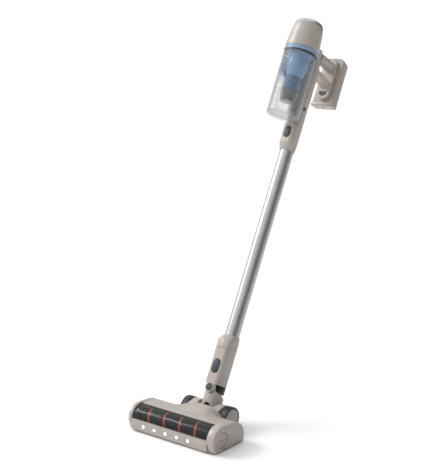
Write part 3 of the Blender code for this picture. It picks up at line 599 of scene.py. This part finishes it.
def button_frame(name, node, proud, body):
    """A dark line round a release button that stands proud of its shell."""
    points = stick_points(node)
    half_x = max(q.x for q in points)
    low, high = min(q.z for q in points), max(q.z for q in points)
    shell_y = min(q.y for q in points) + proud
    # How far outside the button, and how deep, each ring of the frame lies
    section = [(0.0003, 0.0015), (0.0003, -0.0004), (0.0009, -0.0006), (0.0015, -0.0003), (0.0015, 0.0015)]
    rings = []
    for grow, deep in section:
        outline = oval(half_x + grow, (high - low) / 2 + grow, (high + low) / 2)
        rings.append([(x, shell_y + deep, z) for x, z in outline])
    dress(skinned(name, rings, STICK, ROUND_ANGLE, closed_path=True), "black", body)


def seam(name, node, body):
    """A dark line round the joint at the top of a collar."""
    points = stick_points(node)
    top = max(q.z for q in points)
    edge = [(q.x, q.y) for q in points if abs(q.z - top) < SEAM_BAND]
    middle = (max(y for x, y in edge) + min(y for x, y in edge)) / 2
    hull = bmesh.new()
    for x, y in edge:
        hull.verts.new((x, y, 0))
    bmesh.ops.remove_doubles(hull, verts=hull.verts, dist=SEAM_WELD)
    outline = sorted(((v.co.x, v.co.y) for v in hull.verts), key=lambda q: math.atan2(q[1] - middle, q[0]))
    hull.free()
    rings = []
    for share, lift in ((SEAM_INSIDE, -SEAM_LIFT), (SEAM_OUTSIDE, -SEAM_LIFT),
                        (SEAM_OUTSIDE, SEAM_LIFT), (SEAM_INSIDE, SEAM_LIFT)):
        rings.append([(x * share, middle + (y - middle) * share, top + lift) for x, y in outline])
    dress(skinned(name, rings, STICK, ROUND_ANGLE, closed_path=True), "black", body)


# ---------------------------------------------------------------- hand unit
def turned_shell(name, profile, finish, node, steps=128, angle=SMOOTH_ANGLE, body="hand_unit"):
    """A lathe piece about the bin's axis that stands for one node."""
    dress(lathe(name, profile, BIN, steps, angle), finish, body, (node,))


def motor_and_cap():
    outer = [(0.0362, 0.9868), (0.0369, 0.9858), (0.0389, 0.9740), (0.0406, 0.9600), (0.0420, 0.9430),
             (0.0431, 0.9300), (0.0437, 0.9222), (0.0435, 0.9215)]
    inner = [(0.0408, 0.9215), (0.0384, 0.9540), (0.0355, 0.9780), (0.0340, 0.9868)]
    turned_shell("motor_shell", outer + inner, "shell", "motor_housing")
    dome = [(ON_AXIS, 1.0012), (0.0100, 1.0010), (0.0180, 1.0003), (0.0240, 0.9991), (0.0290, 0.9972),
            (0.0325, 0.9945), (0.0350, 0.9910), (0.0363, 0.9878), (0.0365, 0.9869)]
    under = [(0.0340, 0.9869), (0.0325, 0.9905), (ON_AXIS, 0.9960)]
    turned_shell("chrome_top", dome + under, "chrome", "exhaust_cap", angle=50)


def blue_ring():
    band = [(0.0428, 0.9213), (0.0437, 0.9206), (0.0438, 0.9170), (0.0434, 0.9163), (0.0438, 0.9156),
            (0.0438, 0.9120), (0.0431, 0.9113), (0.0345, 0.9113), (0.0345, 0.9213)]
    turned_shell("blue_band", band, "ring", "ring_band")


def clear_bin():
    wall = [(0.0428, 0.9072), (0.0436, 0.9066), (0.0436, 0.9040), (0.0431, 0.9030), (0.0418, 0.7560),
            (0.0419, 0.7540), (0.0417, 0.7500), (0.0399, 0.7500), (0.0400, 0.7560), (0.0415, 0.9072)]
    turned_shell("bin_wall", wall, "clear", "bin_shell")
    lid = [(ON_AXIS, 0.7478), (0.0330, 0.7478), (0.0350, 0.7490), (0.0408, 0.7496), (0.0416, 0.7490),
           (0.0416, 0.7462), (0.0405, 0.7450), (0.0350, 0.7448), (0.0330, 0.7458), (ON_AXIS, 0.7458)]
    turned_shell("lid_disc", lid, "clear", "bin_lid", body="lid")


def cyclone_drum():
    outer = [(0.0342, 0.9108), (0.0342, 0.9072), (0.0284, 0.9040), (0.0281, 0.8960), (0.0277, 0.8952),
             (0.0277, 0.8925), (0.0281, 0.8917), (0.0276, 0.8700), (0.0262, 0.8650), (0.0220, 0.8505),
             (0.0212, 0.8480)]
    inner = [(0.0195, 0.8480), (0.0255, 0.8690), (0.0262, 0.9108)]
    turned_shell("cyclone_drum", outer + inner, "blue", "cyclone_body", steps=112)


def cyclone_grille():
    """Upright bars round a core coloured as painted shade, so that the gaps between them read as dark slots."""
    core = [(ON_AXIS, 0.9020), (0.0190, 0.9020), (0.0186, 0.8478), (0.0178, 0.8135), (0.0090, 0.8135),
            (ON_AXIS, 0.8135)]
    turned_shell("cyclone_core", core, "slot", "cyclone_grille", steps=80)
    bm = bmesh.new()
    for i in range(BARS):
        made = bmesh.ops.create_cube(bm, size=1.0)
        place = Matrix.Rotation(TURN * i / BARS, 4, "Z") @ Matrix.Translation((BAR_RADIUS, 0, BAR_MIDDLE))
        bmesh.ops.transform(bm, matrix=place @ Matrix.Diagonal((*BAR_SIZE, 1)), verts=made["verts"])
    dress(linked("cyclone_bars", bm, BIN), "blue", "hand_unit")


def cyclone_cone():
    """The ribbed cone below the grille."""
    side = [(0.0205, 0.8125), (0.0196, 0.8100), (0.0188, 0.7960), (0.0172, 0.7835), (0.0150, 0.7830)]
    rings = []
    for radius, height in side:
        ring = []
        for i in range(CONE_RIBS * 2):
            turn = math.pi * i / CONE_RIBS
            r = radius - (CONE_RIB_DEPTH if i % 2 else 0.0)
            ring.append((r * math.cos(turn), r * math.sin(turn), height))
        rings.append(ring)
    dress(skinned("cyclone_cone", rings, BIN, ROUND_ANGLE), "mesh", "hand_unit")


def cyclone_skirt():
    skirt = copied("cyclone_skirt", "cyclone_skirt_finished")
    dress(skirt, "clear", "hand_unit", ("cyclone_skirt",))


# ---------------------------------------------------------------- the whole
def build():
    camera()
    studio_world()
    sun()
    floor()
    for node, (voxel, passes) in SOFT.items():
        soften(node, voxel, passes)
    for node, width in CRISP.items():
        crisp(node, width)
    roller_sleeve()
    red_row()
    window()
    hump()
    wheel("left", -1)
    wheel("right", 1)
    bellows()
    tube()
    motor_and_cap()
    blue_ring()
    clear_bin()
    cyclone_drum()
    cyclone_grille()
    cyclone_cone()
    cyclone_skirt()
    button_frame("lower_button_frame", "lower_release_button", 0.0017, "neck")
    button_frame("upper_button_frame", "upper_release_button", 0.0016, "wand")
    seam("lower_seam", "neck_housing", "neck")
    seam("upper_seam", "wand_upper_collar", "wand")
    for name, obj in NODES.items():
        finish_with(obj, FINISH_OF[name])


build()
